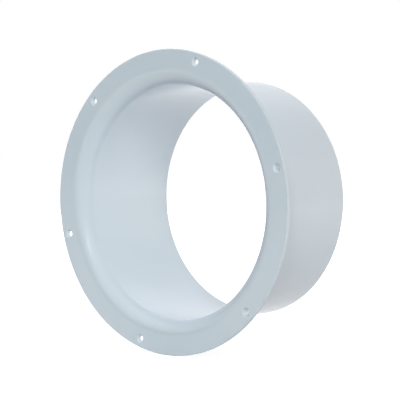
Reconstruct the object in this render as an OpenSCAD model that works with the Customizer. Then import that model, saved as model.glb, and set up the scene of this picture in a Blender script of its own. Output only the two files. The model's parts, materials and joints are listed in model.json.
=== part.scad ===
// Duct wall flange: a flat round flange with screw holes, a rounded bell-mouth lip
// and a straight spigot for a round duct, moulded as one piece with one wall thickness.
// The airway runs along Y. The flange's back lies in the plane Y = 0, its front face
// looks towards -Y, and the spigot runs towards +Y. +Z is up.

/* [Flange] */
// Outer diameter of the flange
flange_d = 188; // [184:1:230]
// Thickness of the flange, the lip and the spigot
wall = 2.5; // [1.6:0.1:4]
// Radius of the rounded edges at the flange's rim
rim_edge_r = 0.6; // [0.2:0.1:0.7]

/* [Spigot] */
// Outside diameter of the spigot, which the duct slides over
spigot_d = 150; // [120:1:154]
// Overall depth, from the front face to the spigot's end
depth = 80; // [40:1:140]
// Radius of the rounded edges at the spigot's end
spigot_edge_r = 0.6; // [0.2:0.1:0.7]

/* [Lip] */
// Radius of the bell-mouth lip, from the flat face into the airway
lip_r = 10; // [5:0.5:12]

/* [Screw holes] */
// Number of screw holes
screw_count = 6; // [3:1:12]
// Distance of the screw holes' centres from the flange's rim
screw_inset = 5.5; // [4.5:0.5:7]
// Diameter of each screw hole
screw_hole_d = 3.4; // [2.6:0.1:4.4]
// Diameter of the countersink on the front face
countersink_d = 5.6; // [5:0.1:6.4]
// Angle of the first screw hole above the horizontal, in degrees
first_hole_angle = 15; // [0:1:60]

/* [Hidden] */
$fn = 180;

flange_r = flange_d / 2;
bore_r = spigot_d / 2 - wall;

// The flat face ends and the lip begins at this radius
face_r = bore_r + lip_r;

// The screw circle, and the depth of a countersink of 90 degrees
screw_r = flange_r - screw_inset;
countersink_depth = (countersink_d - screw_hole_d) / 2;

// How far a cutting tool reaches past the face that it cuts
over = 1;

// A straight run of wall along X, with the two edges of its far end rounded
module wall_strip(length, edge_r) {
    square([length - edge_r, wall]);
    translate([0, edge_r]) square([length, wall - 2 * edge_r]);
    for (y = [edge_r, wall - edge_r])
        translate([length - edge_r, y]) circle(r = edge_r);
}

// A quarter bend of wall: both faces share one centre, so the thickness stays even
module wall_bend(outer_r) {
    intersection() {
        difference() {
            circle(r = outer_r);
            circle(r = outer_r - wall);
        }
        translate([-outer_r, 0]) square(outer_r);
    }
}

// Half of the section through the axis: X is the radius and the front face is up
module section() {
    // Flat flange, from the lip out to the rim
    translate([face_r, 0]) wall_strip(flange_r - face_r, rim_edge_r);

    // Lip, tangent to the front face and to the airway
    translate([face_r, wall - lip_r]) wall_bend(lip_r);

    // Spigot, from the lip down to its open end
    translate([bore_r, wall - lip_r])
        rotate(-90) wall_strip(depth - lip_r, spigot_edge_r);
}

// Cutter for one countersunk hole through the flange
module screw_hole() {
    translate([0, 0, -over]) cylinder(d = screw_hole_d, h = wall + 2 * over);
    translate([0, 0, wall - countersink_depth])
        cylinder(d1 = screw_hole_d, d2 = countersink_d + 2 * over,
                 h = countersink_depth + over);
}

// The whole moulding, turned so that the front face looks towards -Y
module duct_wall_flange() {
    color([0.76, 0.81, 0.85]) rotate([90, 0, 0]) difference() {
        rotate_extrude() section();
        for (i = [0 : screw_count - 1])
            rotate(first_hole_angle + i * 360 / screw_count)
                translate([screw_r, 0, 0]) screw_hole();
    }
}

duct_wall_flange();
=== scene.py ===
"""Looks of the duct wall flange: one gloss plastic moulding on a pale studio floor."""

import json
import math

import bmesh
import bpy
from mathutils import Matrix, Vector


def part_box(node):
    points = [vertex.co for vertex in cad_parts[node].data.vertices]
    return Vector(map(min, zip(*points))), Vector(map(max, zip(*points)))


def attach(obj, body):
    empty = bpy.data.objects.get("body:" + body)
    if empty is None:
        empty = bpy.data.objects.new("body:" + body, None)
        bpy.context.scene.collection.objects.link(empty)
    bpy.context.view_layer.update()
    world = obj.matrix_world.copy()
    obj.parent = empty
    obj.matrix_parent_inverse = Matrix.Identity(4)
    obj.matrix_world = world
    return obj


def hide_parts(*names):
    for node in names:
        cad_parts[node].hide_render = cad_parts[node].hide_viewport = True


MM = 0.001
NODE = "duct_wall_flange"

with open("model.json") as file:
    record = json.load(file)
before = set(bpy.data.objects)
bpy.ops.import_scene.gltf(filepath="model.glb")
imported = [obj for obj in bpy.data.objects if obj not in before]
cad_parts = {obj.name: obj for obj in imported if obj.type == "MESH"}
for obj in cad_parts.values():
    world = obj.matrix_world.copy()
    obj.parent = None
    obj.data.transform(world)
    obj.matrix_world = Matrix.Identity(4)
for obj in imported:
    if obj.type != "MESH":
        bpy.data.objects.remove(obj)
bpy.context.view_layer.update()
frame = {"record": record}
scene = bpy.context.scene

# Sizes in millimetres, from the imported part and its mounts
mounts = {m["name"]: m["dims"] for m in frame["record"]["mounts"]}
low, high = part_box(NODE)
RIM_R = high.x / MM
FRONT_Y = low.y / MM
END_Y = high.y / MM
SPIGOT_R = mounts["duct_spigot"]["r_mm"]
BORE_R = mounts["airway"]["r_mm"]
SCREW_R = mounts["screw_holes"]["pcd_mm"] / 2
SCREW_COUNT = mounts["screw_holes"]["count"]
HOLE_R = mounts["screw_holes"]["hole_r_mm"]

# Sizes that the mounts don't state
LIP_R = 10
EDGE_R = 0.6
COUNTERSINK_R = 2.8
HOLE_EDGE_R = 0.25
FIRST_HOLE_ANGLE = 15

# Mesh fineness
SEGMENTS = 240
HOLE_SEGMENTS = 48
ROW = 12
PATCH_SEGMENTS = 2


def rounded(corners, closed, row):
    """Follows a line through corners (x, y, radius) and rounds each one.

    Gives (x, y, normal x, normal y) for every row; the normal is on the line's right.
    """
    rows = []
    last = len(corners)
    for i, (x, y, radius) in enumerate(corners):
        here = Vector((x, y))
        ends = (i == 0 or i == last - 1) and not closed
        before = Vector(corners[i - 1][:2])
        after = Vector(corners[(i + 1) % last][:2])
        if ends:
            d = (after - here if i == 0 else here - before).normalized()
            rows.append((x, y, d.y, -d.x))
            continue
        d_in, d_out = (here - before).normalized(), (after - here).normalized()
        turn = math.atan2(d_in.cross(d_out), d_in.dot(d_out))
        setback = radius * math.tan(abs(turn) / 2)
        side = math.copysign(1, turn)
        centre = here - d_in * setback + Vector((-d_in.y, d_in.x)) * radius * side
        steps = max(4, round(math.degrees(abs(turn)) / 90 * (4 + radius)))
        for k in range(steps + 1):
            a = turn * k / steps
            d = Vector((d_in.x * math.cos(a) - d_in.y * math.sin(a),
                        d_in.x * math.sin(a) + d_in.y * math.cos(a)))
            right = Vector((d.y, -d.x))
            rows.append((*(centre + right * radius * side), *right))
    return split_long(rows, closed, row)


def split_long(rows, closed, row):
    """Adds even rows to straight stretches longer than row."""
    out = []
    pairs = list(zip(rows, rows[1:] + rows[:1])) if closed else list(zip(rows, rows[1:]))
    for a, b in pairs:
        n = max(1, math.ceil(math.dist(a[:2], b[:2]) / row))
        out += [tuple(p + (q - p) * k / n for p, q in zip(a, b)) for k in range(n)]
    return out if closed else out + [rows[-1]]


class Surface:
    """A mesh under construction, with the exact normal of every vertex."""

    def __init__(self):
        self.bm = bmesh.new()
        self.normals = {}

    def ring(self, radius, y, n_radius, n_y, count, centre=(0, 0)):
        """A ring of vertices round an axis along Y."""
        made = []
        for i in range(count):
            c, s = math.cos(2 * math.pi * i / count), math.sin(2 * math.pi * i / count)
            v = self.bm.verts.new(
                Vector((centre[0] + radius * c, y, centre[1] + radius * s)) * MM)
            self.normals[v] = Vector((n_radius * c, n_y, n_radius * s)).normalized()
            made.append(v)
        return made

    def band(self, a, b, skip=()):
        """Quads between two rings, apart from the skipped places."""
        for i in range(len(a)):
            if i not in skip:
                j = (i + 1) % len(a)
                self.bm.faces.new((a[i], a[j], b[j], b[i]))

    def fill(self, *loops):
        """Fills the flat space between an outline and the loops inside it."""
        edges = []
        for loop in loops:
            for a, b in zip(loop, loop[1:] + loop[:1]):
                edges.append(self.bm.edges.get((a, b)) or self.bm.edges.new((a, b)))
        bmesh.ops.triangle_fill(self.bm, edges=edges, use_beauty=True)

    def finish(self, name):
        """The finished object, smooth, with its exact normals."""
        bmesh.ops.recalc_face_normals(self.bm, faces=self.bm.faces)
        self.bm.verts.index_update()
        normals = [None] * len(self.bm.verts)
        for v, n in self.normals.items():
            normals[v.index] = n
        mesh = bpy.data.meshes.new(name)
        self.bm.to_mesh(mesh)
        self.bm.free()
        mesh.shade_smooth()
        mesh.normals_split_custom_set_from_vertices(normals)
        obj = bpy.data.objects.new(name, mesh)
        scene.collection.objects.link(obj)
        return obj


def moulding():
    """The whole flange: a revolved section whose flat faces are pierced by the screw holes."""
    wall = SPIGOT_R - BORE_R
    section = rounded(
        [(BORE_R, FRONT_Y, LIP_R), (RIM_R, FRONT_Y, EDGE_R), (RIM_R, 0, EDGE_R),
         (SPIGOT_R, 0, LIP_R - wall), (SPIGOT_R, END_Y, EDGE_R), (BORE_R, END_Y, EDGE_R)],
        closed=True, row=ROW)
    surface = Surface()
    rings = [surface.ring(*row, SEGMENTS) for row in section]

    # A square patch of both flat faces round each hole is left open for it
    hole_angles = [FIRST_HOLE_ANGLE + i * 360 / SCREW_COUNT for i in range(SCREW_COUNT)]
    patches = []
    for angle in hole_angles:
        middle = round(angle / 360 * SEGMENTS)
        patches.append([(middle + k) % SEGMENTS for k in range(-PATCH_SEGMENTS, PATCH_SEGMENTS)])
    open_places = {i for patch in patches for i in patch}

    flats = []
    for k, row in enumerate(section):
        after = (k + 1) % len(section)
        flat = row[0] > BORE_R + LIP_R - 1 and abs(section[after][0] - row[0]) > 5
        surface.band(rings[k], rings[after], open_places if flat else ())
        if flat:
            flats.append((row[1], rings[k], rings[after]))

    for angle, patch in zip(hole_angles, patches):
        a = math.radians(angle)
        centre = (SCREW_R * math.cos(a), SCREW_R * math.sin(a))
        cone = COUNTERSINK_R - HOLE_R
        hole = rounded(
            [(HOLE_R + 0.6, 0, 0), (HOLE_R, 0, HOLE_EDGE_R),
             (HOLE_R, FRONT_Y + cone, HOLE_EDGE_R), (COUNTERSINK_R, FRONT_Y, HOLE_EDGE_R),
             (COUNTERSINK_R + 0.4, FRONT_Y, 0)], closed=False, row=ROW)
        hole_rings = [surface.ring(x, y, nx, ny, HOLE_SEGMENTS, centre) for x, y, nx, ny in hole]
        for a_ring, b_ring in zip(hole_rings, hole_rings[1:]):
            surface.band(a_ring, b_ring)
        for y, ring_a, ring_b in flats:
            around = [*patch, (patch[-1] + 1) % SEGMENTS]
            outline = [ring_a[i] for i in around] + [ring_b[i] for i in reversed(around)]
            surface.fill(outline, hole_rings[-1] if y < -0.1 else hole_rings[0])
    return surface.finish("flange_moulding")


def gloss_plastic():
    """Pale blue-grey moulded plastic with a faint unevenness of colour, gloss and surface."""
    mat = bpy.data.materials.new("pale_gloss_plastic")
    mat.use_nodes = True
    nodes, links = mat.node_tree.nodes, mat.node_tree.links
    shader = nodes["Principled BSDF"]
    shader.inputs["IOR"].default_value = 1.53
    coords = nodes.new("ShaderNodeTexCoord")

    def noise(scale, detail):
        n = nodes.new("ShaderNodeTexNoise")
        n.inputs["Scale"].default_value = scale
        n.inputs["Detail"].default_value = detail
        links.new(coords.outputs["Object"], n.inputs["Vector"])
        return n.outputs["Fac"]

    def ramp(fac, low_value, high_value, low_pos=0.3, high_pos=0.7):
        r = nodes.new("ShaderNodeValToRGB")
        r.color_ramp.elements[0].position = low_pos
        r.color_ramp.elements[1].position = high_pos
        r.color_ramp.elements[0].color = low_value
        r.color_ramp.elements[1].color = high_value
        links.new(fac, r.inputs["Fac"])
        return r.outputs["Color"]

    links.new(ramp(noise(14, 3), (0.567, 0.663, 0.727, 1), (0.587, 0.681, 0.743, 1)),
              shader.inputs["Base Color"])
    links.new(ramp(noise(40, 3), (0.19,) * 3 + (1,), (0.22,) * 3 + (1,)),
              shader.inputs["Roughness"])
    bump = nodes.new("ShaderNodeBump")
    bump.inputs["Strength"].default_value = 0.05
    bump.inputs["Distance"].default_value = 0.0002
    links.new(noise(320, 2), bump.inputs["Height"])
    links.new(bump.outputs["Normal"], shader.inputs["Normal"])
    return mat


piece = moulding()
piece.data.materials.append(gloss_plastic())
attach(piece, "root")
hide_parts(NODE)


def light_path_mix(tree, seen, unseen):
    """Shows one shader to camera, glossy and transmission rays and another to all the rest."""
    path = tree.nodes.new("ShaderNodeLightPath")
    total = path.outputs["Is Camera Ray"]
    for kind in ("Is Glossy Ray", "Is Transmission Ray"):
        add = tree.nodes.new("ShaderNodeMath")
        add.operation = "MAXIMUM"
        tree.links.new(total, add.inputs[0])
        tree.links.new(path.outputs[kind], add.inputs[1])
        total = add.outputs[0]
    mix = tree.nodes.new("ShaderNodeMixShader")
    tree.links.new(total, mix.inputs["Fac"])
    tree.links.new(unseen.outputs[0], mix.inputs[1])
    tree.links.new(seen.outputs[0], mix.inputs[2])
    return mix


def studio_floor():
    """A pale floor, whose far part fades into the white background."""
    bpy.ops.mesh.primitive_plane_add(size=8, location=(0, 0, -RIM_R * MM))
    floor = bpy.context.object
    floor.name = "studio_floor"
    mat = bpy.data.materials.new("studio_floor")
    mat.use_nodes = True
    tree = mat.node_tree
    tree.nodes.remove(tree.nodes["Principled BSDF"])
    diffuse = tree.nodes.new("ShaderNodeBsdfDiffuse")
    diffuse.inputs["Color"].default_value = (0.62, 0.62, 0.62, 1)
    glow = tree.nodes.new("ShaderNodeEmission")
    coords = tree.nodes.new("ShaderNodeTexCoord")
    reach = tree.nodes.new("ShaderNodeVectorMath")
    reach.operation = "LENGTH"
    fade = tree.nodes.new("ShaderNodeMapRange")
    fade.inputs["From Min"].default_value = 0.3
    fade.inputs["From Max"].default_value = 0.9
    fade.inputs["To Min"].default_value = 0.75
    fade.inputs["To Max"].default_value = 1
    tree.links.new(coords.outputs["Object"], reach.inputs[0])
    tree.links.new(reach.outputs["Value"], fade.inputs["Value"])
    tree.links.new(fade.outputs["Result"], glow.inputs["Strength"])
    lit = tree.nodes.new("ShaderNodeAddShader")
    tree.links.new(diffuse.outputs[0], lit.inputs[0])
    tree.links.new(glow.outputs[0], lit.inputs[1])
    mix = light_path_mix(tree, lit, diffuse)
    tree.links.new(mix.outputs[0], tree.nodes["Material Output"].inputs["Surface"])
    floor.data.materials.append(mat)


def studio_world():
    world = bpy.data.worlds.new("studio")
    scene.world = world
    world.use_nodes = True
    tree = world.node_tree
    soft = tree.nodes["Background"]
    soft.inputs["Color"].default_value = (0.65, 0.75, 1, 1)
    soft.inputs["Strength"].default_value = 0.15
    white = tree.nodes.new("ShaderNodeBackground")
    white.inputs["Color"].default_value = (1, 1, 1, 1)
    white.inputs["Strength"].default_value = 1
    mix = light_path_mix(tree, white, soft)
    tree.links.new(mix.outputs[0], tree.nodes["World Output"].inputs["Surface"])


def softbox(name, azimuth, elevation, size, power, color=(1, 1, 1), distance=1.5):
    """A soft rectangular lamp that faces the object and leaves no streak in its gloss."""
    a, e = math.radians(azimuth), math.radians(elevation)
    back = Vector((math.sin(a) * math.cos(e), -math.cos(a) * math.cos(e), math.sin(e)))
    data = bpy.data.lights.new(name, "AREA")
    data.shape = "RECTANGLE"
    data.size, data.size_y = size
    data.energy = power
    data.color = color
    lamp = bpy.data.objects.new(name, data)
    lamp.location = back * distance
    lamp.rotation_euler = back.to_track_quat("Z", "Y").to_euler()
    lamp.visible_glossy = False
    scene.collection.objects.link(lamp)
    return lamp


def flag(name, azimuth, elevation, size, distance):
    """A dark card that only the gloss sees, as the unlit part of the room."""
    a, e = math.radians(azimuth), math.radians(elevation)
    back = Vector((math.sin(a) * math.cos(e), -math.cos(a) * math.cos(e), math.sin(e)))
    bpy.ops.mesh.primitive_plane_add(size=1, location=back * distance,
                                     rotation=back.to_track_quat("Z", "Y").to_euler())
    card = bpy.context.object
    card.name = "flag_" + name
    card.scale = (*size, 1)
    mat = bpy.data.materials.get("flag") or bpy.data.materials.new("flag")
    mat.use_nodes = True
    mat.node_tree.nodes["Principled BSDF"].inputs["Base Color"].default_value = (0, 0, 0, 1)
    mat.node_tree.nodes["Principled BSDF"].inputs["Specular IOR Level"].default_value = 0
    card.data.materials.append(mat)
    card.visible_camera = card.visible_diffuse = card.visible_shadow = False


def camera():
    """The photograph's view: a long lens from the front right, a little above the axis."""
    azimuth, elevation = math.radians(41.03), math.radians(2.74)
    distance, right_shift, up_shift = 1.0133, 0.0202, 0.0017
    data = bpy.data.cameras.new("camera")
    data.lens, data.sensor_width = 148.95, 36
    cam = bpy.data.objects.new("camera", data)
    cam.rotation_euler = (math.pi / 2 - elevation, 0, azimuth)
    turn = cam.rotation_euler.to_matrix()
    cam.location = (Vector((0, FRONT_Y * MM, 0)) + turn @ Vector((right_shift, up_shift, distance)))
    scene.collection.objects.link(cam)
    scene.camera = cam


studio_floor()
studio_world()
softbox("key", 45, 25, (1.5, 1.2), 65, (1, 0.97, 0.91), distance=3)
softbox("over_left", -60, 60, (0.9, 0.9), 7.3)
softbox("back_right", 150, 10, (0.9, 0.7), 6.5, (1, 0.8, 0.68))
softbox("back_left", -120, 10, (0.9, 0.7), 6)
softbox("back_high", -150, 30, (0.9, 0.9), 14, (1, 0.9, 0.92))
strip = softbox("strip", 30, 24, (0.5, 0.1), 1.5)
strip.visible_glossy, strip.visible_diffuse = True, False
flag("front_left", -27, 6, (1.16, 0.6), 1.4)
flag("left", -102, 8, (1.43, 0.75), 1.4)
camera()
scene.view_settings.view_transform = "Standard"
